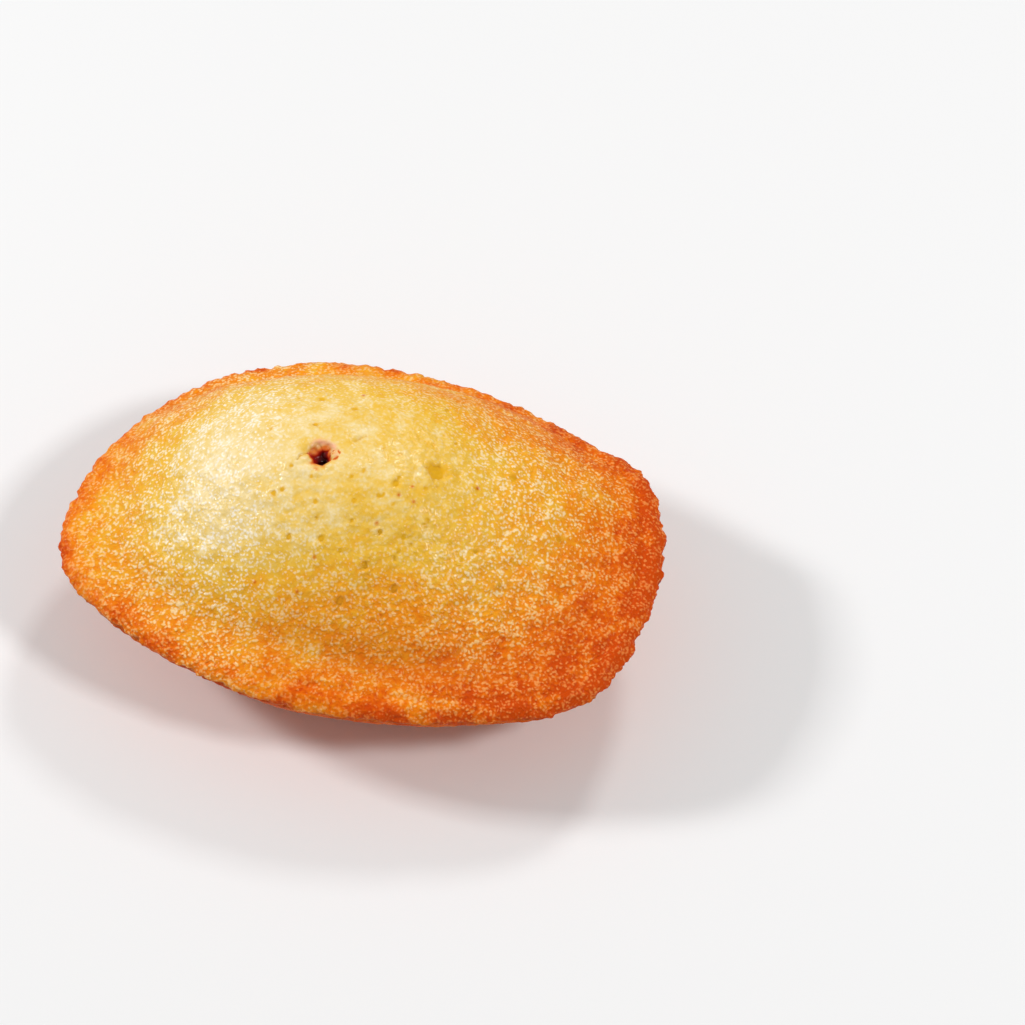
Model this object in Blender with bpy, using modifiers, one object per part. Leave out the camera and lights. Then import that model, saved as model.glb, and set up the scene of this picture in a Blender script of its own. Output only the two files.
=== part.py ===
# Madeleine cake: one sponge body baked in a scallop pan, hump upwards, with a
# blind filling hole in the hump and a short plug of jam at its bottom.
# The narrow hinge end points to -X and the broad fan end to +X.
# The origin is the middle of the base that it rests on. Sizes are in millimetres.

import math

import bmesh
import bpy
import numpy as np
from mathutils import Vector, noise

MM = 0.001

# Main sizes
LENGTH = 76.0
WIDTH = 53.6
SHELL_DEPTH = 15.0
HUMP_HEIGHT = 15.4
RIM_THICKNESS = 1.1
RIM_UNDERCUT = 0.5

# Plan of the rim, from the hinge end along the near side to the fan end and back
RIM_PLAN = [
    (-38.0, -4.8), (-36.4, -11.2), (-31.2, -16.4), (-23.0, -21.0), (-12.0, -24.7),
    (0.0, -26.5), (12.5, -25.4), (23.0, -23.0), (29.8, -20.5), (34.5, -15.0),
    (37.0, -7.4), (38.0, 1.5), (36.2, 10.0), (33.0, 15.6), (24.9, 19.2),
    (12.4, 23.9), (0.0, 26.6), (-12.0, 26.0), (-22.0, 21.8), (-30.2, 15.1), (-36.0, 5.8),
]
CURVE_STEPS = 24

# Mesh of the slab that is shaped into the cake: rows along X, columns along Y
ROWS = 34
RIBS = 9
COLUMNS_PER_RIB = 6
ROW_SPREAD = 0.75

# Hump: a mound whose top lies off the middle, on a flange that runs round the rim
PEAK = Vector((-5.4, 1.0))
HUMP_MIDDLE = Vector((0.3, 1.4))
HUMP_HALF_LENGTH = 35.2
HUMP_HALF_WIDTH = 21.7
NEAR_MOUND = (1.9, 1.6)
FAR_MOUND = (2.1, 0.88)
FLANGE_RISE = 2.0
FLANGE_REACH = 2.25
LUMP_HEIGHT = 0.45
LUMP_SIZE = 11.0
RIM_WAVE = 0.45

# Shell: the bowl under the rim, its ribs and the small flat that it rests on
BOWL_ROUND = 2.7
BOWL_FULL = 0.82
RIB_DEPTH = 0.95
RIB_ROUNDNESS = 0.75
SCALLOP_DEPTH = 0.45
REST_MIDDLE = Vector((-0.5, 0.6))
REST_HALF_LENGTH = 9.0
REST_HALF_WIDTH = 6.5
REST_BLEND = 1.35

# Filling hole and jam
HOLE_DEPTH = 5.6
HOLE_RADIUS = 1.2
CRATER_RADIUS = 2.1
CRATER_DEPTH = 1.5
JAM_HEIGHT = 3.0
CLEARANCE = 0.3
TURN_STEPS = 16


def smooth(low, high, value):
    t = min(max((value - low) / (high - low), 0.0), 1.0)
    return t * t * (3.0 - 2.0 * t)


def mix(first, second, share):
    return first + (second - first) * share


# ---------------------------------------------------------------- plan

def catmull_rom(p0, p1, p2, p3, t):
    return 0.5 * (2.0 * p1 + (p2 - p0) * t + (2.0 * p0 - 5.0 * p1 + 4.0 * p2 - p3) * t ** 2
                  + (3.0 * p1 - p0 - 3.0 * p2 + p3) * t ** 3)


def rim_curve():
    """Smooth closed curve through RIM_PLAN, centred and fitted to LENGTH and WIDTH."""
    knots = [Vector(point) for point in RIM_PLAN]
    count = len(knots)
    curve = []
    for i in range(count):
        span = [knots[(i + k) % count] for k in (-1, 0, 1, 2)]
        for step in range(CURVE_STEPS):
            curve.append(catmull_rom(*span, step / CURVE_STEPS))
    low = Vector([min(point[axis] for point in curve) for axis in (0, 1)])
    high = Vector([max(point[axis] for point in curve) for axis in (0, 1)])
    scale = (LENGTH / (high.x - low.x), WIDTH / (high.y - low.y))
    middle = (low + high) / 2.0
    return [Vector(((p.x - middle.x) * scale[0], (p.y - middle.y) * scale[1])) for p in curve]


def polar_table(curve):
    """The rim as two arrays: directions from the middle, and the distance to the rim in each."""
    angles = np.array([math.atan2(point.y, point.x) for point in curve])
    radii = np.array([point.length for point in curve])
    return angles, radii


def rim_radius(table, angle):
    return float(np.interp(angle, table[0], table[1], period=math.tau))


def to_disc(a, b):
    """Square grid place (-1 to 1 each way) to a round disc, rows and columns staying smooth."""
    return Vector((a * math.sqrt(1.0 - b * b / 2.0), b * math.sqrt(1.0 - a * a / 2.0)))


# ---------------------------------------------------------------- heights

def rib_profile(b):
    """0 in the groove between two ribs, 1 on a rib's crest."""
    across = ((b + 1.0) / 2.0 * RIBS) % 1.0
    return math.sin(math.pi * across) ** RIB_ROUNDNESS


def side_fade(b):
    """1 across the shell, falling to 0 along its two long sides."""
    return smooth(0.0, 0.12, 1.0 - abs(b))


def flange_height(inset):
    """Height above the rim plane of the collar round the hump, by distance from the rim."""
    return FLANGE_RISE * (1.0 - math.exp(-inset / FLANGE_REACH))


def mound_share(place):
    """0 at the mound's foot and beyond, 1 at its top, measured on rays from the top."""
    axes = Vector((HUMP_HALF_LENGTH, HUMP_HALF_WIDTH))
    ray = place - PEAK
    if ray.length < 1e-6:
        return 1.0
    start = Vector(((PEAK.x - HUMP_MIDDLE.x) / axes.x, (PEAK.y - HUMP_MIDDLE.y) / axes.y))
    step = Vector((ray.x / axes.x, ray.y / axes.y))
    along = start.dot(step)
    reach = (-along + math.sqrt(along ** 2 + step.dot(step) * (1.0 - start.dot(start)))) / step.dot(step)
    if reach <= 1.0:
        return 0.0
    far = smooth(-0.2, 0.9, ray.normalized().y)
    power = mix(NEAR_MOUND[0], FAR_MOUND[0], far)
    fullness = mix(NEAR_MOUND[1], FAR_MOUND[1], far)
    return (1.0 - (1.0 / reach) ** power) ** fullness


def rim_wave(direction, share):
    """Gentle rise and fall of the rim, fading towards the middle."""
    wave = math.sin(2.0 * direction + 0.6) + 0.45 * math.sin(5.0 * direction + 2.0)
    return RIM_WAVE * wave * share ** 4


def top_height(place, inset):
    flange = flange_height(inset)
    share = mound_share(place)
    lump = noise.noise(Vector((place.x, place.y, 0.0)) / LUMP_SIZE) * LUMP_HEIGHT
    lump *= smooth(0.0, LUMP_SIZE / 2.0, inset)
    return mix(flange, HUMP_HEIGHT, share) + lump


def bowl_depth(share):
    """Depth below the rim's lower edge, with share 0 at the middle and 1 at the rim."""
    full_depth = SHELL_DEPTH - RIM_THICKNESS
    return full_depth * (1.0 - min(share, 1.0) ** BOWL_ROUND) ** BOWL_FULL


def rest_share(place):
    """1 on the flat that it rests on, falling to 0 around it."""
    offset = place - REST_MIDDLE
    spread = Vector((offset.x / REST_HALF_LENGTH, offset.y / REST_HALF_WIDTH)).length
    return 1.0 - smooth(1.0, REST_BLEND, spread)


# ---------------------------------------------------------------- body

def divide(bm, axis, parts):
    """Cut every edge that runs along an axis into equal parts."""
    along = [e for e in bm.edges if abs(e.verts[0].co[axis] - e.verts[1].co[axis]) > 1.0]
    bmesh.ops.subdivide_edges(bm, edges=along, cuts=parts - 1, use_grid_fill=True)


def spread_rows(a):
    """Rows stand closer together towards the two ends."""
    return math.sin(a * math.pi / 2.0 * ROW_SPREAD) / math.sin(math.pi / 2.0 * ROW_SPREAD)


def shape_slab(bm, table):
    """Move the slab's two faces to the top and the bowl. Returns each lower vertex's grid place."""
    lower = {}
    for vertex in bm.verts:
        a, b, side = spread_rows(vertex.co.x), vertex.co.y, vertex.co.z
        disc = to_disc(a, b)
        share = min(disc.length, 1.0)
        direction = math.atan2(disc.y, disc.x)
        radius = rim_radius(table, direction)
        radius -= SCALLOP_DEPTH * (1.0 - rib_profile(b)) * smooth(0.75, 1.0, a) * side_fade(b)
        if side < 0.0:
            radius -= RIM_UNDERCUT
        place = Vector((math.cos(direction), math.sin(direction))) * radius * share
        if side > 0.0:
            height = top_height(place, (1.0 - share) * radius)
        else:
            height = -RIM_THICKNESS - bowl_depth(share)
            lower[vertex] = (a, b, place)
        height += SHELL_DEPTH + rim_wave(direction, share)
        vertex.co = Vector((place.x, place.y, height)) * MM
    return lower


def carve_ribs(bm, lower):
    """Sink the grooves between the shell's ribs along the bowl's own normals."""
    bm.normal_update()
    moves = {}
    for vertex, (a, b, place) in lower.items():
        depth = RIB_DEPTH * (1.0 - rib_profile(b))
        depth *= smooth(-0.92, -0.45, a) * side_fade(b)
        depth *= mix(1.0, 0.35, smooth(0.93, 1.0, a)) * (1.0 - rest_share(place))
        moves[vertex] = -vertex.normal * depth * MM
    for vertex, move in moves.items():
        vertex.co += move


def press_rest(lower):
    """Flatten the lowest part of the bowl, so that the cake stands level."""
    for vertex, (_, _, place) in lower.items():
        if rest_share(place) >= 1.0:
            vertex.co.z = 0.0
        vertex.co.z = max(vertex.co.z, 0.0)


def make_body(collection):
    bm = bmesh.new()
    bmesh.ops.create_cube(bm, size=2.0)
    divide(bm, 0, ROWS)
    divide(bm, 1, RIBS * COLUMNS_PER_RIB)
    lower = shape_slab(bm, polar_table(rim_curve()))
    carve_ribs(bm, lower)
    press_rest(lower)
    bmesh.ops.recalc_face_normals(bm, faces=bm.faces[:])
    return add_object("sponge_cake", bm, collection)


# ---------------------------------------------------------------- hole and jam

def turned(name, profile, height, collection):
    """Turn a profile of (radius, height) points, given top to bottom, about the hole's axis."""
    bm = bmesh.new()
    points = [bm.verts.new(Vector((radius, 0.0, level)) * MM) for radius, level in profile]
    for first, second in zip(points, points[1:]):
        bm.edges.new((first, second))
    piece = add_object(name, bm, collection)
    piece.location = Vector((PEAK.x, PEAK.y, height)) * MM
    screw = piece.modifiers.new("turn", "SCREW")
    screw.steps = TURN_STEPS
    screw.render_steps = TURN_STEPS
    screw.use_merge_vertices = True
    screw.merge_threshold = 0.00001
    return piece


def make_hole(body, collection, floor_height):
    top = HOLE_DEPTH + 2.0
    profile = [
        (0.0, top), (CRATER_RADIUS + 1.0, top), (CRATER_RADIUS, HOLE_DEPTH - 0.2),
        (HOLE_RADIUS, HOLE_DEPTH - CRATER_DEPTH), (HOLE_RADIUS - 0.1, 0.0), (0.0, 0.0),
    ]
    cutter = turned("hole_cutter", profile, floor_height, collection)
    cutter.hide_render = True
    cutter.display_type = "WIRE"
    cut = body.modifiers.new("filling hole", "BOOLEAN")
    cut.operation = "DIFFERENCE"
    cut.solver = "EXACT"
    cut.object = cutter


def make_jam(collection, floor_height):
    radius = HOLE_RADIUS - 0.1 - CLEARANCE
    profile = [
        (0.0, JAM_HEIGHT), (radius * 0.6, JAM_HEIGHT - 0.08), (radius, JAM_HEIGHT - 0.35),
        (radius, 0.2), (radius * 0.8, 0.0), (0.0, 0.0),
    ]
    return turned("jam_filling", profile, floor_height + CLEARANCE, collection)


# ---------------------------------------------------------------- scene

def add_object(name, bm, collection):
    mesh = bpy.data.meshes.new(name)
    bm.to_mesh(mesh)
    bm.free()
    mesh.shade_smooth()
    piece = bpy.data.objects.new(name, mesh)
    collection.objects.link(piece)
    return piece


def new_collection(name):
    collection = bpy.data.collections.new(name)
    bpy.context.scene.collection.children.link(collection)
    return collection


def paint(piece, name, color, roughness):
    material = bpy.data.materials.new(name)
    material.use_nodes = True
    shader = material.node_tree.nodes["Principled BSDF"]
    shader.inputs["Base Color"].default_value = (*color, 1.0)
    shader.inputs["Roughness"].default_value = roughness
    shader.inputs["Metallic"].default_value = 0.0
    piece.data.materials.append(material)


def main():
    for old in list(bpy.data.objects):
        bpy.data.objects.remove(old, do_unlink=True)
    parts = new_collection("madeleine")
    cutters = new_collection("cutters")
    hole_floor = SHELL_DEPTH + HUMP_HEIGHT - HOLE_DEPTH
    body = make_body(parts)
    make_hole(body, cutters, hole_floor)
    jam = make_jam(parts, hole_floor)
    paint(body, "golden sponge", (0.76, 0.42, 0.09), 0.5)
    paint(jam, "red jam", (0.20, 0.015, 0.01), 0.15)


main()
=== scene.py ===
import math
import random

import bpy
import numpy as np
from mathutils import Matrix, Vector, noise


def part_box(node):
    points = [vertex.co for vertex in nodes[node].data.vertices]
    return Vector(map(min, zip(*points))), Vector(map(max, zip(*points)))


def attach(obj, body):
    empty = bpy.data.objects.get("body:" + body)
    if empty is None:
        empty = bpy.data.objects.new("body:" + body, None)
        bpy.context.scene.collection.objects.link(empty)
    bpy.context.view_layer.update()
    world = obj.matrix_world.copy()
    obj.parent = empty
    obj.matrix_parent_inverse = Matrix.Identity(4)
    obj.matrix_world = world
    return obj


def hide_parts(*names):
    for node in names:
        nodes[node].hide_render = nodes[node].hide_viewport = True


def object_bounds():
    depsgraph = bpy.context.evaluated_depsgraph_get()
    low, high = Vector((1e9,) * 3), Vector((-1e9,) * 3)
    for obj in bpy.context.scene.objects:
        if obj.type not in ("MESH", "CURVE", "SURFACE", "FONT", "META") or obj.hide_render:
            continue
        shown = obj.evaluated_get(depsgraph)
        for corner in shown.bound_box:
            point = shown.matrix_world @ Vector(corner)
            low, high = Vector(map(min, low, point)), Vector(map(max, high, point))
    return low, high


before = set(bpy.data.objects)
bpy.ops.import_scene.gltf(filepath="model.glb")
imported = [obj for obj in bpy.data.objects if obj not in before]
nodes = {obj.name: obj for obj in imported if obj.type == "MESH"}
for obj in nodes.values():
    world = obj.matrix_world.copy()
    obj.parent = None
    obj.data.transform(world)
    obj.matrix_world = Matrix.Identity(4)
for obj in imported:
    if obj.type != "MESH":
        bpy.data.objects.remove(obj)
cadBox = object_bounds()
mm = 0.001


# Helpers for selecting and finishing pieces

def deselectAll():
    bpy.ops.object.select_all(action="DESELECT")


def workOn(piece):
    deselectAll()
    piece.select_set(True)
    bpy.context.view_layer.objects.active = piece


def applyModifier(piece, kind, **settings):
    workOn(piece)
    modifier = piece.modifiers.new(kind.lower(), kind)
    for setting, value in settings.items():
        setattr(modifier, setting, value)
    bpy.ops.object.modifier_apply(modifier=modifier.name)


def copyOfNode(nodeName, pieceName):
    # a CAD node's mesh is loose triangles, so its copy is merged and turned to quads
    piece = nodes[nodeName].copy()
    piece.data = nodes[nodeName].data.copy()
    piece.name = pieceName
    piece.data.name = pieceName
    piece.parent = None
    bpy.context.scene.collection.objects.link(piece)
    workOn(piece)
    bpy.ops.object.mode_set(mode="EDIT")
    bpy.ops.mesh.select_all(action="SELECT")
    bpy.ops.mesh.remove_doubles(threshold=0.002 * mm)
    bpy.ops.mesh.tris_convert_to_quads()
    bpy.ops.object.mode_set(mode="OBJECT")
    return piece


def readVerts(piece):
    places = np.empty(len(piece.data.vertices) * 3)
    normals = np.empty(len(piece.data.vertices) * 3)
    piece.data.vertices.foreach_get("co", places)
    piece.data.vertices.foreach_get("normal", normals)
    return places.reshape(-1, 3), normals.reshape(-1, 3)


def moveVerts(piece, places):
    piece.data.vertices.foreach_set("co", places.ravel())
    piece.data.update()


def ease(low, high, value):
    t = np.clip((value - low) / (high - low), 0.0, 1.0)
    return t * t * (3.0 - 2.0 * t)


def bell(distance, width):
    # 1 where the distance is 0, falling off smoothly on both sides
    return np.exp(-(distance / width) ** 2)


def grainAt(places, size, seed=0.0):
    # smooth solid noise, -1 to 1, with features of about the given size
    shift = Vector((seed, -2.0 * seed, 3.0 * seed))
    return np.array([noise.noise(Vector(place) / size + shift) for place in places])


def keepInside(piece, low, high):
    moveVerts(piece, np.clip(readVerts(piece)[0], np.array(low), np.array(high)))


def saveField(piece, name, values):
    attribute = piece.data.attributes.new(name, "FLOAT", "POINT")
    attribute.data.foreach_set("value", np.ascontiguousarray(values, dtype=np.float32))


def readField(piece, name):
    values = np.empty(len(piece.data.vertices), dtype=np.float32)
    piece.data.attributes[name].data.foreach_get("value", values)
    return values


# Helpers for materials

def toLinear(hexColour):
    channels = [int(hexColour[i:i + 2], 16) / 255.0 for i in (1, 3, 5)]
    return [c / 12.92 if c <= 0.04045 else ((c + 0.055) / 1.055) ** 2.4 for c in channels] + [1.0]


def newMaterial(name):
    material = bpy.data.materials.new(name)
    material.use_nodes = True
    return material, material.node_tree, material.node_tree.nodes["Principled BSDF"]


def addNode(tree, kind, links, stops=None, **settings):
    # one node; links gives each socket, by name or number, a value or another node's output
    node = tree.nodes.new(kind)
    for setting, value in settings.items():
        setattr(node, setting, value)
    for name, value in links.items():
        named = [socket for socket in node.inputs if socket.name == name and socket.enabled]
        socket = named[0] if named else node.inputs[name]
        if isinstance(value, bpy.types.NodeSocket):
            tree.links.new(value, socket)
        else:
            socket.default_value = value
    for i, (position, hexColour) in enumerate(stops or []):
        ramp = node.color_ramp.elements
        stop = ramp[i] if i < 2 else ramp.new(position)
        stop.position = position
        stop.color = toLinear(hexColour)
    return next(output for output in node.outputs if output.enabled)


# The cake: fine even mesh over the baked sponge, then its lumps, rim, ribs, pores and hole

cake = {
    "meshSpacing": 0.36 * mm,
    "smoothings": 8,
    "ribSmoothings": 150,           # rounds the ribs off, to tell them from the grooves
    "ribRelief": 0.3 * mm,          # how far a rib stands out of that round
    "holeZone": 3.6 * mm,           # finer mesh round the hole
    "lumpSize": 6.5 * mm,
    "lumpHeight": 0.5 * mm,
    "wrinkleSize": 2.3 * mm,
    "wrinkleHeight": 0.7 * mm,
    "bubbleSize": 1.25 * mm,        # burst bubbles of the crust
    "bubbleHeight": 0.2 * mm,
    # heights from the rim over which the shell gives way to the top, in shape and in colour
    "topEdge": (-0.6 * mm, 0.4 * mm),
    "paintEdge": (-0.9 * mm, 0.3 * mm),
    "rimGrowth": 0.3 * mm,          # makes up for what the smoothing takes off
    "rimBand": 1.6 * mm,
    "rimRagged": 0.5 * mm,
    "rimRaggedSize": 1.1 * mm,
    "lipHeight": 0.24 * mm,
    "lipWidth": 1.7 * mm,
    "grooveDepth": 0.26 * mm,
    "creaseDrop": 0.75 * mm,        # how far the crease runs below the rim
    "creaseWidth": 0.22 * mm,
    "creaseDepth": 0.22 * mm,
    # burst pores of the pale top: x, y, radius and depth in millimetres
    "pores": [
        (8.7, 2.3, 1.4, 0.8), (4.3, -1.1, 0.62, 0.4), (10.2, 7.6, 0.4, 0.3), (3.4, -6.8, 0.45, 0.4),
        (-7.6, -8.7, 0.46, 0.35), (-3.6, -8.6, 0.5, 0.35), (2.1, -10.4, 0.55, 0.5), (2.5, -11.7, 0.3, 0.3),
        (6.1, -11.9, 0.58, 0.45), (-0.3, -14.1, 0.6, 0.35), (5.6, -9.0, 0.4, 0.3), (-4.6, -6.5, 0.3, 0.25),
        (-0.2, -6.3, 0.32, 0.3), (11.3, -4.1, 0.3, 0.25), (15.1, -5.6, 0.35, 0.25), (7.3, -7.2, 0.3, 0.25),
        (17.8, 5.5, 0.6, 0.25), (-7.3, 10.4, 0.5, 0.2), (-7.0, 5.3, 0.5, 0.25), (-2.8, 9.2, 0.55, 0.2),
        (8.0, 13.3, 0.4, 0.2), (-8.7, -1.0, 0.35, 0.2),
    ],
    "porePit": 0.34,                # shares of a pore's depth that go into its pit and its lip
    "poreLip": 0.12,
    "poreWobble": 0.3,
    "finePore": 0.31 * mm,          # pores wider than this get a finer mesh
    # small pores: how many, then their middle, spread and radius in millimetres
    "smallPores": 40,
    "smallPoreMiddle": (3.0, -4.0),
    "smallPoreSpread": (8.5, 7.0),
    "smallPoreRadius": (0.2, 0.42),
    "smallPoreDepth": 0.35,         # share of its radius
    # red-brown flecks baked into the pale top: x and y in millimetres
    "flecks": [(6.4, -0.9), (6.9, -2.7), (2.9, -6.1), (5.0, -2.5), (-4.1, -10.6), (-11.2, -13.2),
               (-5.7, -14.0), (4.9, -14.8), (14.0, 2.2), (-2.4, 12.6)],
    "fleckSize": 0.22,              # millimetres
    # cracks that run out from the hole: first and last place, width and depth in millimetres
    "cracks": [
        ((-7.0, 1.4), (-8.3, -0.4), 0.5, 0.2),
        ((-1.9, 3.6), (-0.4, 5.0), 0.45, 0.25),
        ((-6.2, 4.6), (-7.2, 5.4), 0.4, 0.2),
    ],
    "crackWaver": 0.22 * mm,
    "crackShade": 0.8,              # how strongly the cracks take the pores' colour
    # the piped hole
    "mouthRing": (2.4 * mm, 3.0 * mm),  # where its mouth's height is found
    "holeReach": 2.3 * mm,
    "wellNarrowing": 0.45,
    "wellShift": (0.3 * mm, -0.6 * mm),
    "collarRadius": 3.1 * mm,
    "collarWidth": 0.8 * mm,
    "collarHeight": 0.38 * mm,
    "tearRadius": 1.5 * mm,
    "tearWidth": 0.8 * mm,
    "tearSize": 0.7 * mm,
    "crumbPlace": (-3.6 * mm, 1.2 * mm),
    "crumbNarrowing": 1.5,
    "crumbHeight": 0.4 * mm,
    "crumbWidth": 0.32 * mm,
    # how brown the rim is, and how much more so in some directions: degrees, sharpness and amount;
    # the extra browning at 45 degrees is painted shade on the far right rim
    "rimBrowning": 0.36,
    "rimBrownerAndShaded": [(-60.0, 1.0, 0.22), (-15.0, 5.0, 0.3), (145.0, 3.0, 0.1), (45.0, 8.0, 0.12),
                   (90.0, 4.0, -0.05), (195.0, 4.0, -0.07)],
    # browner and paler areas of the top: x, y, reach in x and in y in millimetres, and amount
    "topBrowner": [(19.0, -14.5, 6.0, 4.0, 0.08), (-19.0, -10.5, 9.0, 5.0, -0.07),
                   (-18.5, 0.0, 5.0, 4.5, -0.1), (27.0, 8.0, 6.0, 8.0, -0.08)],
    "humpPaler": (-1.0, -9.5, 6.0, 3.5, -0.1),
    "shellBrowning": 0.9,
}

jamLow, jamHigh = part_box("jam_filling")
holeMiddle = (Vector(jamLow) + Vector(jamHigh)) / 2.0
rimPlane = 15.0 * mm                # what lies above it is top, and the camera aims at this height


def startCake():
    piece = copyOfNode("sponge_cake", "bakedSponge")
    applyModifier(piece, "SUBSURF", levels=2, render_levels=2)
    applyModifier(piece, "REMESH", mode="VOXEL", voxel_size=cake["meshSpacing"])
    applyModifier(piece, "SMOOTH", factor=0.5, iterations=cake["smoothings"])
    return piece


def markRibs(piece):
    # how far each place stands out of the shell's general round: above 0 on ribs, below in grooves
    places, normals = readVerts(piece)
    rounded = piece.copy()
    rounded.data = piece.data.copy()
    bpy.context.scene.collection.objects.link(rounded)
    applyModifier(rounded, "SMOOTH", factor=0.5, iterations=cake["ribSmoothings"])
    saveField(piece, "ribHeight", ((places - readVerts(rounded)[0]) * normals).sum(axis=1))
    bpy.data.objects.remove(rounded)


def rimTable(places):
    # radius and height of the rim in each of 360 directions, evened out
    edgeBand = 0.4 * mm
    evening = 7                     # degrees to either side
    degree = (np.degrees(np.arctan2(places[:, 1], places[:, 0])) % 360.0).astype(int)
    radius = np.hypot(places[:, 0], places[:, 1])
    radii = np.zeros(360)
    np.maximum.at(radii, degree, radius)
    outer = radius > radii[degree] - edgeBand
    heights = np.bincount(degree[outer], places[outer, 2], 360) / np.bincount(degree[outer], minlength=360)
    window = np.hanning(2 * evening + 1)
    window /= window.sum()
    return [np.convolve(np.r_[row[-evening:], row, row[:evening]], window, "valid")
            for row in (radii, heights)]


def rimFields(places, table):
    # distance in from the rim, height above it and direction, for each vertex
    direction = np.arctan2(places[:, 1], places[:, 0])
    degree = np.degrees(direction) % 360.0
    radii, heights = [np.interp(degree, np.arange(361), np.r_[row, row[:1]]) for row in table]
    inset = radii - np.hypot(places[:, 0], places[:, 1])
    return inset, places[:, 2] - heights, direction


def facing(direction, degrees, sharpness):
    # 1 in the given direction round the cake, falling to 0 behind it
    return ((1.0 + np.cos(direction - math.radians(degrees))) / 2.0) ** sharpness


def relief(piece, name, kind, size, height, group="", **settings):
    # pushes the skin in and out along its normals by a solid texture of the given grain
    texture = bpy.data.textures.new(name, kind)
    texture.noise_scale = size
    for setting, value in settings.items():
        setattr(texture, setting, value)
    applyModifier(piece, "DISPLACE", texture=texture, strength=height, mid_level=0.5,
                  texture_coords="LOCAL", vertex_group=group)


def weigh(piece, name, weights):
    # a vertex group, with its weights rounded to twentieths
    group = piece.vertex_groups.new(name=name)
    steps = np.round(weights * 20.0).astype(int)
    for step in range(1, 21):
        group.add(np.flatnonzero(steps == step).tolist(), step / 20.0, "REPLACE")


def weighWrinkles(piece, table):
    # the slopes down to the fan end and the narrow end wrinkled most as they baked
    places = readVerts(piece)[0]
    inset, above, _ = rimFields(places, table)
    top = ease(*cake["topEdge"], above)
    fanSlope = top * ease(6.0, 20.0, places[:, 0] / mm) * ease(3.0, 7.0, inset / mm)
    noseSlope = top * ease(2.0, -16.0, places[:, 0] / mm)
    weigh(piece, "wrinkled", np.clip(0.3 + 0.7 * fanSlope + 0.5 * noseSlope, 0.0, 1.0))


def refine(piece, spots):
    # finer mesh inside circles seen from above, on the upper side only
    middles = np.empty(len(piece.data.polygons) * 3)
    piece.data.polygons.foreach_get("center", middles)
    middles = middles.reshape(-1, 3)
    chosen = np.zeros(len(middles), dtype=bool)
    for x, y, radius in spots:
        chosen |= (np.hypot(middles[:, 0] - x, middles[:, 1] - y) < radius) & (middles[:, 2] > rimPlane)
    workOn(piece)
    bpy.ops.object.mode_set(mode="EDIT")
    bpy.ops.mesh.select_mode(type="FACE")
    bpy.ops.mesh.select_all(action="DESELECT")
    bpy.ops.object.mode_set(mode="OBJECT")
    piece.data.polygons.foreach_set("select", chosen)
    bpy.ops.object.mode_set(mode="EDIT")
    bpy.ops.mesh.subdivide(number_cuts=1)
    bpy.ops.object.mode_set(mode="OBJECT")


def scatterPores():
    # small pores strewn over the pale middle, more of them on its near slope
    dice = random.Random(8)
    pores = [tuple(value * mm for value in pore) for pore in cake["pores"]]
    (middleX, middleY), (spreadX, spreadY) = cake["smallPoreMiddle"], cake["smallPoreSpread"]
    for _ in range(cake["smallPores"]):
        x = dice.gauss(middleX, spreadX) * mm
        y = dice.gauss(middleY, spreadY) * mm
        radius = dice.uniform(*cake["smallPoreRadius"]) * mm
        pores.append((x, y, radius, cake["smallPoreDepth"] * radius))
    return pores


def pressPores(piece, pores):
    # presses the pores in and returns how far each place lies inside one
    places, normals = readVerts(piece)
    wobble = grainAt(places, 0.6 * mm, 5.0)
    wall = np.zeros(len(places))
    for x, y, radius, depth in pores:
        away = np.hypot(places[:, 0] - x, places[:, 1] - y)
        near = (away < 2.0 * radius) & (places[:, 2] > rimPlane)
        share = away[near] / (radius * (1.0 + cake["poreWobble"] * wobble[near]))
        pit = 1.0 - ease(0.7, 1.08, share)
        lip = bell(share - 1.25, 0.2)
        rise = cake["poreLip"] * depth * lip - cake["porePit"] * depth * pit
        places[near] += normals[near] * rise[:, None]
        wall[near] = np.maximum(wall[near], pit)
    moveVerts(piece, places)
    return wall


def openCracks(piece):
    # opens the cracks and returns how far each place lies inside one
    places, normals = readVerts(piece)
    waver = grainAt(places, 1.0 * mm, 9.0) * cake["crackWaver"]
    opened = np.zeros(len(places))
    for first, last, width, depth in cake["cracks"]:
        start, end = np.array(first) * mm, np.array(last) * mm
        run = end - start
        length = np.hypot(*run)
        along = ((places[:, :2] - start) @ run) / length ** 2
        across = ((places[:, :2] - start) @ np.array([-run[1], run[0]])) / length + waver
        mouth = (width * mm) * (1.0 - np.abs(2.0 * along - 1.0) ** 2).clip(0.0)
        inside = (mouth > 0.0) & (along > 0.0) & (along < 1.0) & (places[:, 2] > rimPlane)
        cut = bell(across[inside], 0.5 * mouth[inside] + 0.02 * mm)
        places[inside] -= normals[inside] * (depth * mm * cut)[:, None]
        opened[inside] = np.maximum(opened[inside], cake["crackShade"] * cut)
    moveVerts(piece, places)
    return opened


def holeFrame(places):
    # offset and distance from the hole's middle, direction round it and depth below its mouth
    offset = places[:, :2] - np.array(holeMiddle)[:2]
    away = np.hypot(offset[:, 0], offset[:, 1])
    ringInside, ringOutside = cake["mouthRing"]
    mouth = places[(away > ringInside) & (away < ringOutside), 2].max()
    depth = np.where(places[:, 2] > rimPlane, mouth - places[:, 2], 0.0) * (away < cake["holeReach"])
    return offset, away, np.arctan2(offset[:, 1], offset[:, 0]), depth


def crumbDistance(places):
    # distance from the stray crumb on the hole's lip, measured so that the crumb comes out narrow
    x, y = cake["crumbPlace"]
    return np.hypot(cake["crumbNarrowing"] * (places[:, 0] - x), places[:, 1] - y)


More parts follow.
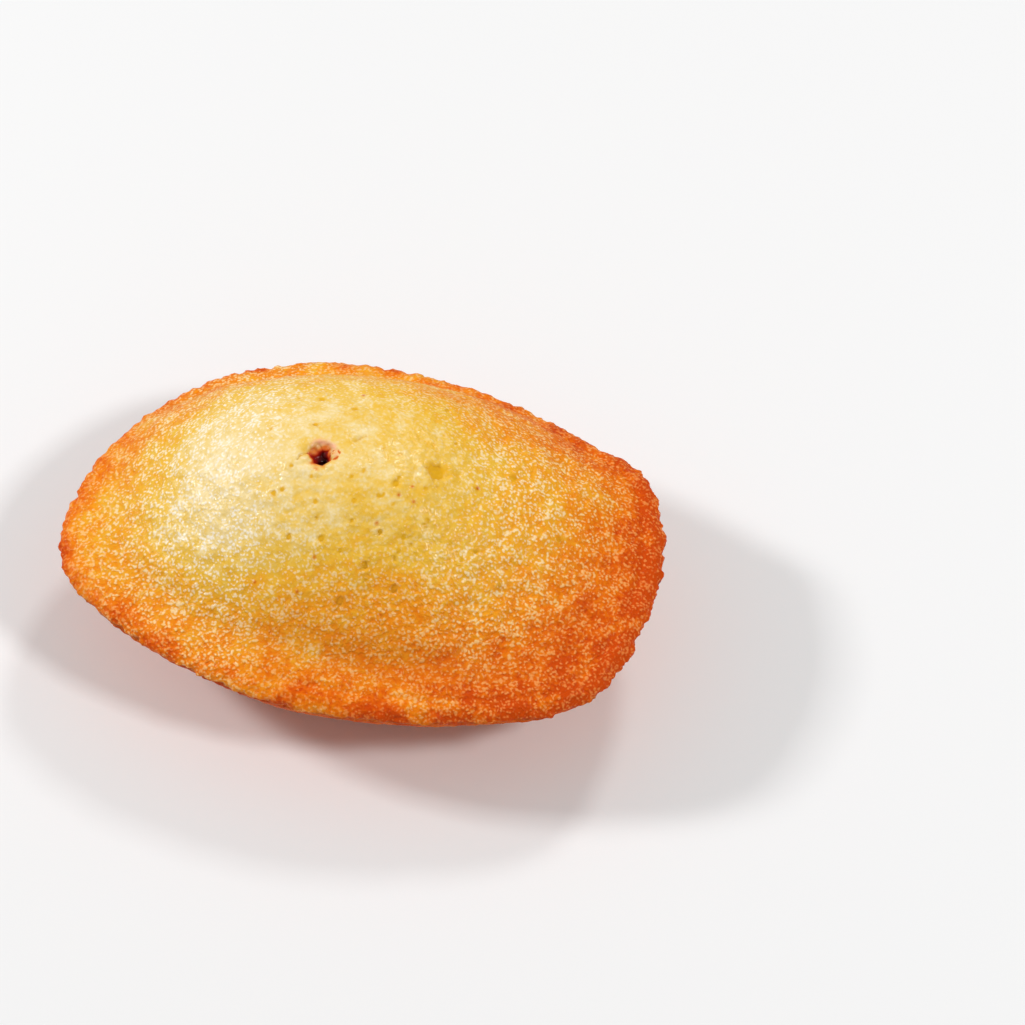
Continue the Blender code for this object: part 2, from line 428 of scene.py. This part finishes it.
def tearHole(piece):
    # the piped hole is drawn to a funnel and torn, with a puffed collar on its far side
    places, normals = readVerts(piece)
    offset, away, direction, depth = holeFrame(places)
    upper = places[:, 2] > rimPlane
    aboveJam = ease(jamHigh[2] - 0.6 * mm, jamHigh[2] + 0.4 * mm, places[:, 2])
    inWell = ease(0.5 * mm, 2.4 * mm, depth) * aboveJam
    places[:, :2] -= offset * (cake["wellNarrowing"] * inWell)[:, None]
    places[:, :2] += np.array(cake["wellShift"]) * inWell[:, None]
    collar = bell(away - cake["collarRadius"], cake["collarWidth"]) * upper
    puff = cake["collarHeight"] * collar * (0.45 + 0.55 * np.sin(direction - 0.3))
    tear = grainAt(places, cake["tearSize"], 2.0) * bell(away - cake["tearRadius"], cake["tearWidth"]) * upper
    torn = (0.2 + 0.15 * np.sin(direction)) * mm * tear
    raised = cake["crumbHeight"] * bell(crumbDistance(places), cake["crumbWidth"]) * upper
    places += normals * (puff + torn + raised)[:, None]
    moveVerts(piece, places)


def shapeRim(piece, table):
    places, normals = readVerts(piece)
    inset, above, direction = rimFields(places, table)
    places[:, :2] += normals[:, :2] * cake["rimGrowth"]
    outward = np.stack([np.cos(direction), np.sin(direction), np.zeros(len(places))], axis=1)
    band = bell(inset, cake["rimBand"]) * bell(above, cake["rimBand"])
    raggedSize = cake["rimRaggedSize"]
    ragged = grainAt(places, raggedSize, 1.0) + 0.5 * grainAt(places, raggedSize / 2.0, 3.0)
    places += outward * (cake["rimRagged"] * band * (ragged - 0.1))[:, None]
    # a thin lip stands up along the near and fan rims, with a groove inside it
    nearFan = ease(0.35, 0.75, facing(direction, -35.0, 1.0))
    lipWidth = cake["lipWidth"]
    lip = cake["lipHeight"] * bell(inset - 0.5 * lipWidth, 0.45 * lipWidth)
    groove = cake["grooveDepth"] * bell(inset - 1.45 * lipWidth, 0.3 * lipWidth)
    patchy = 0.6 + 0.6 * grainAt(places, 5.0 * mm, 6.0)
    places[:, 2] += nearFan * ease(*cake["topEdge"], above) * patchy.clip(0.0, 1.2) * (lip - groove)
    # a fine crease under the rim, where the batter met the pan's edge
    crease = bell(above + cake["creaseDrop"], cake["creaseWidth"]) * (inset < 1.5 * mm)
    places -= normals * (cake["creaseDepth"] * crease)[:, None]
    moveVerts(piece, places)


def topBrowning(places, inset, direction):
    # pale in the middle, browner to the rim, brownest at the near corner of the fan end
    x, y = places[:, 0] / mm, places[:, 1] / mm
    # the rim's browning per direction includes painted shade on the far right rim
    rimBrown = cake["rimBrowning"] + sum(more * facing(direction, degrees, sharpness)
                                         for degrees, sharpness, more in cake["rimBrownerAndShaded"])
    edgeWidth = (3.0 - 0.8 * facing(direction, 95.0, 2.0) - 0.8 * facing(direction, 185.0, 4.0)) * mm
    edgeBrown = (0.22 + 0.1 * facing(direction, 185.0, 6.0)) * bell(inset, edgeWidth)
    middleBrown = 0.17 * ease(-6.0, 22.0, x) - 0.14 * ease(-6.0, -18.0, x)
    humpX, humpY, reachX, reachY, more = cake["humpPaler"]
    middleBrown += more * np.exp(-((x - humpX) / reachX) ** 2 - ((y - humpY) / reachY) ** 2)
    # the brown edge reaches inwards by an uneven distance, farthest on the near side
    wobble = grainAt(places, 7.0 * mm, 11.0) * 2.2 * mm + grainAt(places, 2.2 * mm, 12.0) * 0.9 * mm
    reach = (9.5 + 5.0 * facing(direction, -75.0, 1.5) + 1.0 * facing(direction, 125.0, 1.5)) * mm
    inward = 1.0 - 1.0 / (1.0 + ((inset + wobble).clip(0.0) / reach) ** 3.5)
    brown = rimBrown + (middleBrown - rimBrown) * inward + edgeBrown
    for spotX, spotY, reachX, reachY, more in cake["topBrowner"]:
        brown += more * np.exp(-((x - spotX) / reachX) ** 2 - ((y - spotY) / reachY) ** 2)
    patches = 0.12 + 0.26 * bell(inset, 4.0 * mm)
    return brown + patches * grainAt(places, 3.2 * mm, 21.0) * ease(0.05, 0.4, brown)


def shellBrowning(places, above, ribs):
    # deep brown, browner in the grooves and lighter on the ribs as painted shade, and worn pale in a few
    # places
    blotches = grainAt(places, 8.0 * mm, 14.0) + 0.6 * grainAt(places, 2.5 * mm, 17.0)
    worn = ease(0.2, 0.75, blotches) * ease(-0.8, 0.6, ribs) * ease(-2.0 * mm, -5.0 * mm, above)
    speckle = grainAt(places, 3.0 * mm, 16.0)
    return cake["shellBrowning"] - 0.18 * ribs.clip(-1.0, 1.0) - 0.4 * worn + 0.2 * speckle


def paintButterAndHighlights(piece, inset, direction, top, underRimShade, browning):
    # beads of butter, raised in the bump and painted as pale highlights, lie thickest on the narrow end,
    # then on the fan end, thinly on the hump's middle
    places = readVerts(piece)[0]
    x, y = places[:, 0] / mm, places[:, 1] / mm
    fromMiddle = np.hypot(x - 1.0, 1.3 * (y - 1.0))
    endward = 1.4 * ease(-8.0, -17.0, x) * ease(-34.0, -26.0, x) + 0.75 * ease(6.0, 18.0, x)
    glossy = 0.22 + 0.4 * ease(8.0, 20.0, fromMiddle) + 0.4 * endward
    glossy -= 0.1 * (1.0 - ease(0.5 * mm, 3.0 * mm, inset))
    # fewer painted highlights on the shell, and fewest in the painted shade just under the rim
    shellGlossy = 0.55 - 0.35 * underRimShade
    saveField(piece, "beadAndHighlightAmount", (glossy * top + shellGlossy * (1.0 - top)).clip(0.0, 0.95))
    # the butter film is thinnest where the edge baked hard and down the far slope
    farSlope = facing(direction, 75.0, 1.5) * ease(5.0, 16.0, fromMiddle)
    saveField(piece, "butter", (1.0 - 0.75 * ease(0.4, 0.9, browning)) * (1.0 - 0.8 * farSlope))


def paintFlecks(piece, top):
    places = readVerts(piece)[0]
    fleck = np.zeros(len(places))
    for x, y in cake["flecks"]:
        away = np.hypot(places[:, 0] / mm - x, places[:, 1] / mm - y)
        fleck = np.maximum(fleck, bell(away, cake["fleckSize"]))
    saveField(piece, "fleck", fleck * top)


def paintShade(piece, inset, above, direction, top, ribs, underRimShade):
    # painted shade: darker brown in the trough inside the near rim, in the shell's grooves and just under the
    # rim
    places = readVerts(piece)[0]
    valleyShade = bell(inset - 7.5 * mm, 3.2 * mm) * facing(direction, -85.0, 3.0) * top
    grooves = 0.4 * ease(0.2, 1.0, -ribs) * (1.0 - top)
    # painted shade: the crease under the lip is drawn as a dark broken line
    creaseDepth = above + 0.32 * mm + 0.2 * mm * grainAt(places, 2.0 * mm, 19.0)
    crease = bell(creaseDepth, cake["creaseWidth"]) * (inset < 2.0 * mm)
    crease *= ease(-0.35, 0.1, grainAt(places, 4.0 * mm, 20.0))
    saveField(piece, "paintedShade", 0.28 * valleyShade + 0.15 * underRimShade + 0.7 * crease + grooves)


def paintJamStain(piece):
    # jam soaks the hole's wall and pinks the crumb on its far and right lips
    places = readVerts(piece)[0]
    away, around, depth = holeFrame(places)[1:]
    upper = places[:, 2] > rimPlane
    ragged = 0.35 * mm * grainAt(places, 0.8 * mm, 15.0)
    crumb = crumbDistance(places) + ragged
    bleed = 0.38 * bell(crumb - 0.6 * mm, 0.3 * mm) * (away < cake["holeReach"]) * upper
    bleed *= ease(-0.25, 0.3, grainAt(places, 0.45 * mm, 22.0))
    saveField(piece, "soaked", np.maximum(ease(0.2 * mm, 1.9 * mm, depth + ragged), bleed))
    blush = bell(away + ragged - 1.8 * mm, 0.45 * mm) * ease(0.0, 0.9, np.sin(around + 0.2))
    blush *= 0.8 + 0.8 * grainAt(places, 0.5 * mm, 18.0)
    saveField(piece, "stain", np.maximum(blush.clip(0.0, 1.0), bell(crumb, 0.35 * mm)) * upper)


def paintCake(piece, table, poreWall):
    places = readVerts(piece)[0]
    inset, above, direction = rimFields(places, table)
    top = ease(*cake["paintEdge"], above)
    ribs = readField(piece, "ribHeight") / cake["ribRelief"]
    # painted shade: a band just under the rim, made browner and darker and given fewer painted highlights
    underRimShade = bell(above + 1.3 * mm, 0.8 * mm) * (inset < 3.0 * mm)
    topBrown = topBrowning(places, inset, direction)
    shellBrown = shellBrowning(places, above, ribs)
    browning = shellBrown + (topBrown - shellBrown) * top + 0.12 * underRimShade
    saveField(piece, "browning", browning)
    # the skin is rough where it baked hard, on the narrow end too, and smoother on the moist middle
    narrowEnd = ease(-8.0, -20.0, places[:, 0] / mm) * top
    saveField(piece, "coarseness", 0.35 + 0.4 * ease(0.15, 0.5, browning) + 0.1 * narrowEnd)
    saveField(piece, "pore", poreWall)
    paintButterAndHighlights(piece, inset, direction, top, underRimShade, browning)
    paintFlecks(piece, top)
    paintShade(piece, inset, above, direction, top, ribs, underRimShade)
    paintJamStain(piece)


print("cake: even mesh over the sponge")
sponge = startCake()
rim = rimTable(readVerts(sponge)[0])
markRibs(sponge)
print("cake: lumps, wrinkles and bubbles")
relief(sponge, "lumps", "CLOUDS", cake["lumpSize"], cake["lumpHeight"], noise_depth=1)
pores = scatterPores()
finePores = [pore for pore in pores if pore[2] > cake["finePore"]]
refine(sponge, [(holeMiddle.x, holeMiddle.y, cake["holeZone"])])
refine(sponge, [(x, y, 1.5 * radius + 0.2 * mm) for x, y, radius, _ in finePores])
refine(sponge, [(x * mm, y * mm, 0.5 * mm) for x, y in cake["flecks"]])
weighWrinkles(sponge, rim)
relief(sponge, "wrinkles", "CLOUDS", cake["wrinkleSize"], cake["wrinkleHeight"], "wrinkled", noise_depth=2)
relief(sponge, "bubbles", "VORONOI", cake["bubbleSize"], -cake["bubbleHeight"])
print("cake: hole, cracks and pores")
tearHole(sponge)
crackWall = openCracks(sponge)
poreWall = np.maximum(crackWall, pressPores(sponge, pores))
print("cake: rim")
shapeRim(sponge, rim)
keepInside(sponge, *cadBox)
print("cake: browning, butter and jam stain")
paintCake(sponge, rim, poreWall)
sponge.data.shade_smooth()
sponge.data.calc_loop_triangles()
print("cake: triangles", len(sponge.data.loop_triangles))


# Crust material: butter-glossy baked sponge, pale and moist on the hump, orange-brown to the rim.
# The butter stands on it in small round beads, raised in the bump and drawn in the colour as pale cream
# painted highlights, and lies between them as a thin film, which gives small soft glints. Sizes are in
# millimetres, and the beads are drawn as coarse as they need to show.

crust = {
    "swirlSize": 1.3,               # how far apart the grain bends
    "swirlReach": 0.4,              # how far it bends
    "grainSize": 0.54,              # spacing of the grains
    "grainHeight": 0.3 * mm,
    "mottleSize": 2.4,              # spacing of the browner and paler patches
    "mottleBrowning": 0.4,
    # browner hollows and paler crests of the grain: partly the crust's own tone, partly painted shade and
    # highlight
    "hollowShadeAndBrowning": 0.6,          # how much browner the hollows of the grain are
    "butterBrowning": 0.04,
    "palest": -0.25,                # browning that gets the first of the crust colours
    "crustColours": [
        (0.0, "#FBE8BC"), (1.0, "#CE4804"), (0.2, "#F0D288"), (0.28, "#EEC45C"), (0.36, "#ECB93C"),
        (0.48, "#EFA726"), (0.6, "#F09518"), (0.76, "#EC7C0A"), (0.88, "#E26406")],
    "beadSpacing": 0.44,            # spacing of the beads of butter
    "beadGrain": 0.34,              # spacing of the finer grain that makes them uneven
    "beadRoundness": 0.7,
    "beadOnCrests": 0.45,           # how strongly beads keep to the grain's crests and to patches
    "beadInPatches": 0.45,
    # the beads' pale colour is a painted highlight: these set how softly it fades, how strongly it shows and,
    # below, its colours
    "highlightEdge": 0.26,               # how softly they fade out
    "highlightStrength": 0.85,
    "beadHeight": 0.6,              # share of the grain's height
    "highlightColours": [
        (0.0, "#FFF6E6"), (1.0, "#F08E46"), (0.3, "#FFE8BC"), (0.58, "#FFD894"), (0.8, "#F8AA60")],
    # painted shade: the colour of the darkened trough, grooves, crease and band under the rim
    "paintedShadeColour": "#8A3A06",
    "poreStrength": 0.95,
    "poreColours": [(0.2, "#E4AA18"), (0.5, "#DA8814")],
    "fleckColour": "#CC6002",
    "blushColour": "#F6B48C",
    "jamStainColours": [
        (0.0, "#EDB45A"), (1.0, "#2A0204"), (0.15, "#E68C3A"), (0.35, "#CE541E"), (0.55, "#A41C0E"),
        (0.8, "#5A0808")],
    "jamStainEdge": 0.2,
    "roughness": 0.55,
    "ior": 1.45,
    "specular": 0.05,
    "butterFilm": 0.42,
    "butterRoughness": 0.1,
    "butterIor": 1.35,
}


def addCrustPatterns(tree):
    # the grain of the crust, its patches and where beads of butter stand on it
    coords = tree.nodes.new("ShaderNodeTexCoord").outputs["Object"]
    inMm = addNode(tree, "ShaderNodeVectorMath", {0: coords, "Scale": 1.0 / mm}, operation="SCALE")
    swirl = addNode(tree, "ShaderNodeTexNoise", {"Vector": inMm, "Scale": 1.0 / crust["swirlSize"],
                    "Detail": 0.0}).node.outputs["Color"]
    bent = addNode(tree, "ShaderNodeVectorMath", {0: swirl, 1: [crust["swirlReach"]] * 3, 2: inMm},
                   operation="MULTIPLY_ADD")
    grain = addNode(tree, "ShaderNodeTexNoise", {"Vector": bent, "Scale": 1.0 / crust["grainSize"],
                    "Detail": 1.5, "Roughness": 0.5})
    mottle = addNode(tree, "ShaderNodeTexNoise", {"Vector": inMm, "Scale": 1.0 / crust["mottleSize"],
                     "Detail": 2.0, "Roughness": 0.6})
    patches = addNode(tree, "ShaderNodeMath", {0: mottle, 1: 0.5}, operation="SUBTRACT")
    # round cells, broken up by a finer grain, thickest on crests and in some patches
    fineGrain = addNode(tree, "ShaderNodeTexNoise", {"Vector": bent, "Scale": 1.0 / crust["beadGrain"],
                        "Detail": 0.0})
    cells = addNode(tree, "ShaderNodeTexVoronoi", {"Vector": inMm, "Scale": 1.0 / crust["beadSpacing"]})
    uneven = addNode(tree, "ShaderNodeMath", {0: fineGrain, 1: crust["beadRoundness"]},
                     operation="MULTIPLY")
    rounded = addNode(tree, "ShaderNodeMath", {0: cells, 1: -crust["beadRoundness"], 2: uneven},
                      operation="MULTIPLY_ADD")
    crests = addNode(tree, "ShaderNodeMath", {0: grain, 1: 0.5}, operation="SUBTRACT")
    raised = addNode(tree, "ShaderNodeMath", {0: crests, 1: crust["beadOnCrests"], 2: rounded},
                     operation="MULTIPLY_ADD")
    strewn = addNode(tree, "ShaderNodeMath", {0: patches, 1: crust["beadInPatches"], 2: raised},
                     operation="MULTIPLY_ADD")
    return grain, patches, strewn


def addBakedColour(tree, fields, grain, patches):
    # between the beads the crust shows its full browning, deepest in the hollows of the grain and palest on
    # its crests, partly its own tone and partly painted shade and highlight
    patchy = addNode(tree, "ShaderNodeMath", {0: patches, 1: -crust["mottleBrowning"],
                     2: fields["browning"]}, operation="MULTIPLY_ADD")
    between = addNode(tree, "ShaderNodeMath", {0: fields["beadAndHighlightAmount"], 1: crust["butterBrowning"],
                      2: patchy}, operation="MULTIPLY_ADD")
    hollow = addNode(tree, "ShaderNodeMath", {0: 0.5, 1: grain}, operation="SUBTRACT")
    hollows = addNode(tree, "ShaderNodeMath", {0: hollow, 1: fields["coarseness"]}, operation="MULTIPLY")
    specked = addNode(tree, "ShaderNodeMath", {0: hollows, 1: crust["hollowShadeAndBrowning"], 2: between},
                      operation="MULTIPLY_ADD")
    baked = addNode(tree, "ShaderNodeMapRange", {"Value": specked, "From Min": crust["palest"],
                    "From Max": 1.0})
    return addNode(tree, "ShaderNodeValToRGB", {"Fac": baked}, stops=crust["crustColours"])


def addPaintedHighlightBeads(tree, fields, colour, strewn):
    # painted highlights: pale beads of butter drawn into the colour, thick in some patches and missing in
    # others, browner where the crust is
    bead = addNode(tree, "ShaderNodeMapRange", {"Value": strewn, "From Min": 0.0,
                   "From Max": crust["highlightEdge"]})
    soft = addNode(tree, "ShaderNodeMath", {0: bead, 1: crust["highlightStrength"]}, operation="MULTIPLY")
    beads = addNode(tree, "ShaderNodeMath", {0: soft, 1: fields["beadAndHighlightAmount"]}, operation="MULTIPLY")
    highlightColour = addNode(tree, "ShaderNodeValToRGB", {"Fac": fields["browning"]},
                         stops=crust["highlightColours"])
    return addNode(tree, "ShaderNodeMix", {"Factor": beads, "A": colour, "B": highlightColour},
                   data_type="RGBA")


def addMarks(tree, fields, colour):
    # painted shade darkens the trough inside the near rim, the grooves and the band under the rim, and pores
    # and flecks have their own colours
    shaded = addNode(tree, "ShaderNodeMix", {"Factor": fields["paintedShade"], "A": colour,
                      "B": toLinear(crust["paintedShadeColour"])}, data_type="RGBA")
    poreColour = addNode(tree, "ShaderNodeValToRGB", {"Fac": fields["browning"]},
                         stops=crust["poreColours"])
    poreShare = addNode(tree, "ShaderNodeMath", {0: fields["pore"], 1: crust["poreStrength"]},
                        operation="MULTIPLY")
    withPores = addNode(tree, "ShaderNodeMix", {"Factor": poreShare, "A": shaded, "B": poreColour},
                        data_type="RGBA")
    return addNode(tree, "ShaderNodeMix", {"Factor": fields["fleck"], "A": withPores,
                   "B": toLinear(crust["fleckColour"])}, data_type="RGBA")


def addJamStain(tree, fields, colour):
    # jam has run up the torn wall of the hole and pinks the crumb at its lip
    blushed = addNode(tree, "ShaderNodeMix", {"Factor": fields["stain"], "A": colour,
                      "B": toLinear(crust["blushColour"])}, data_type="RGBA")
    jamStain = addNode(tree, "ShaderNodeValToRGB", {"Fac": fields["soaked"]},
                       stops=crust["jamStainColours"])
    wet = addNode(tree, "ShaderNodeMapRange", {"Value": fields["soaked"], "From Min": 0.0,
                  "From Max": crust["jamStainEdge"]})
    return addNode(tree, "ShaderNodeMix", {"Factor": wet, "A": blushed, "B": jamStain},
                   data_type="RGBA")


def makeCrust():
    material, tree, shader = newMaterial("butteryBakedCrust")
    fields = {}
    for name in ("browning", "coarseness", "beadAndHighlightAmount", "paintedShade", "pore", "fleck", "stain", "soaked",
                 "butter"):
        fields[name] = addNode(tree, "ShaderNodeAttribute", {}, attribute_name=name).node.outputs["Fac"]
    grain, patches, strewn = addCrustPatterns(tree)
    colour = addBakedColour(tree, fields, grain, patches)
    colour = addPaintedHighlightBeads(tree, fields, colour, strewn)
    colour = addMarks(tree, fields, colour)
    tree.links.new(addJamStain(tree, fields, colour), shader.inputs["Base Color"])
    dome = addNode(tree, "ShaderNodeMath", {0: strewn, 1: fields["beadAndHighlightAmount"]}, operation="MULTIPLY")
    domes = addNode(tree, "ShaderNodeMath", {0: dome, 1: crust["beadHeight"], 2: grain},
                    operation="MULTIPLY_ADD")
    bump = addNode(tree, "ShaderNodeBump", {"Height": domes, "Strength": fields["coarseness"],
                   "Distance": crust["grainHeight"]})
    tree.links.new(bump, shader.inputs["Normal"])
    tree.links.new(bump, shader.inputs["Coat Normal"])
    film = addNode(tree, "ShaderNodeMath", {0: fields["butter"], 1: crust["butterFilm"]},
                   operation="MULTIPLY")
    tree.links.new(film, shader.inputs["Coat Weight"])
    shader.inputs["Roughness"].default_value = crust["roughness"]
    shader.inputs["IOR"].default_value = crust["ior"]
    shader.inputs["Specular IOR Level"].default_value = crust["specular"]
    shader.inputs["Coat Roughness"].default_value = crust["butterRoughness"]
    shader.inputs["Coat IOR"].default_value = crust["butterIor"]
    return material


print("cake: crust")
sponge.data.materials.clear()
sponge.data.materials.append(makeCrust())
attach(sponge, "root")
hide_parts("sponge_cake")


# The jam: a small wet plug of it low in the hole

jam = {
    "radius": 1.02 * mm,
    "height": 0.98,                 # share of the room that the cake leaves for it
    "lumpSize": 1.1 * mm,
    "lumpHeight": 0.12 * mm,
    "pulpSize": 0.6 * mm,
    "pulpColours": [(0.35, "#2E0204"), (0.7, "#7A0C0C")],
    "roughness": 0.3,
}


def makeJam():
    low, high = Vector(jamLow), Vector(jamHigh)
    bpy.ops.mesh.primitive_uv_sphere_add(segments=48, ring_count=32, radius=jam["radius"],
                                         location=holeMiddle)
    piece = bpy.context.object
    piece.name = "jamPlug"
    piece.scale = (1.0, 1.0, jam["height"] / 2.0 * (high.z - low.z) / jam["radius"])
    bpy.ops.object.transform_apply(location=True, rotation=True, scale=True)
    relief(piece, "jamLumps", "CLOUDS", jam["lumpSize"], jam["lumpHeight"], noise_depth=1)
    keepInside(piece, jamLow, jamHigh)
    piece.data.shade_smooth()
    return piece


def makeJamMaterial():
    # cooked berry jam: nearly black-red in the depth of the hole and wet, with brighter red patches in its
    # pulp
    material, tree, shader = newMaterial("darkBerryJam")
    coords = tree.nodes.new("ShaderNodeTexCoord").outputs["Object"]
    pulp = addNode(tree, "ShaderNodeTexNoise", {"Vector": coords, "Scale": 1.0 / jam["pulpSize"],
                   "Detail": 2.0})
    colour = addNode(tree, "ShaderNodeValToRGB", {"Fac": pulp}, stops=jam["pulpColours"])
    tree.links.new(colour, shader.inputs["Base Color"])
    shader.inputs["Roughness"].default_value = jam["roughness"]
    return material


print("jam")
jamPlug = makeJam()
jamPlug.data.materials.append(makeJamMaterial())
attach(jamPlug, "root")
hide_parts("jam_filling")


# Camera: looks down on the level cake from the near side, a little from the fan end

view = {
    "azimuth": math.radians(10.0),
    "elevation": math.radians(55.0),
    "sensor": 36.0,                 # millimetres
    "lens": 158.0,
    "span": 129.2 * mm,             # width of what is seen at the cake
    "aimRight": 18.5 * mm,
    "aimUp": 2.95 * mm,
}


def makeCamera():
    azimuth, elevation = view["azimuth"], view["elevation"]
    back = Vector((math.sin(azimuth) * math.cos(elevation), -math.cos(azimuth) * math.cos(elevation),
                   math.sin(elevation)))
    right = Vector((math.cos(azimuth), math.sin(azimuth), 0.0))
    up = back.cross(right)
    aim = Vector((0.0, 0.0, rimPlane)) + right * view["aimRight"] + up * view["aimUp"]
    bpy.ops.object.camera_add(location=aim + back * view["lens"] / view["sensor"] * view["span"])
    camera = bpy.context.object
    camera.rotation_euler = back.to_track_quat("Z", "Y").to_euler()
    camera.data.lens = view["lens"]
    camera.data.sensor_width = view["sensor"]
    camera.data.clip_start = 0.01
    bpy.context.scene.camera = camera


# Studio: pale floor, soft light from behind on the left, white surroundings

studio = {
    "floorSize": 4.0,
    "floorColour": "#EDEDED",
    "floorRoughness": 0.6,
    "surroundings": 0.33,
    # place, size and power of each softbox
    "softboxes": {
        "keySoftbox": ((-0.6, 0.04, 0.44), 0.12, 2.9),
        "backSoftbox": ((0.15, 0.5, 0.55), 0.12, 1.3),
        "rightSoftbox": ((0.5, -0.16, 0.6), 0.12, 2.4),
    },
}


def makeFloor():
    bpy.ops.mesh.primitive_plane_add(size=studio["floorSize"])
    floor = bpy.context.object
    floor.name = "floor"
    # pale painted board, which only gives the eye a soft, even ground
    material, _, shader = newMaterial("paleBoard")
    shader.inputs["Base Color"].default_value = toLinear(studio["floorColour"])
    shader.inputs["Roughness"].default_value = studio["floorRoughness"]
    floor.data.materials.append(material)


def addSoftbox(name, place, size, power):
    bpy.ops.object.light_add(type="AREA", location=place)
    lamp = bpy.context.object
    lamp.name = name
    lamp.data.size = size
    lamp.data.energy = power
    lamp.rotation_euler = Vector(place).to_track_quat("Z", "Y").to_euler()


def makeWorld():
    world = bpy.data.worlds.new("studio")
    world.use_nodes = True
    world.node_tree.nodes["Background"].inputs["Color"].default_value = (1.0, 1.0, 1.0, 1.0)
    world.node_tree.nodes["Background"].inputs["Strength"].default_value = studio["surroundings"]
    bpy.context.scene.world = world
    bpy.context.scene.view_settings.view_transform = "Standard"


print("studio")
makeCamera()
makeFloor()
for name, (place, size, power) in studio["softboxes"].items():
    addSoftbox(name, place, size, power)
makeWorld()
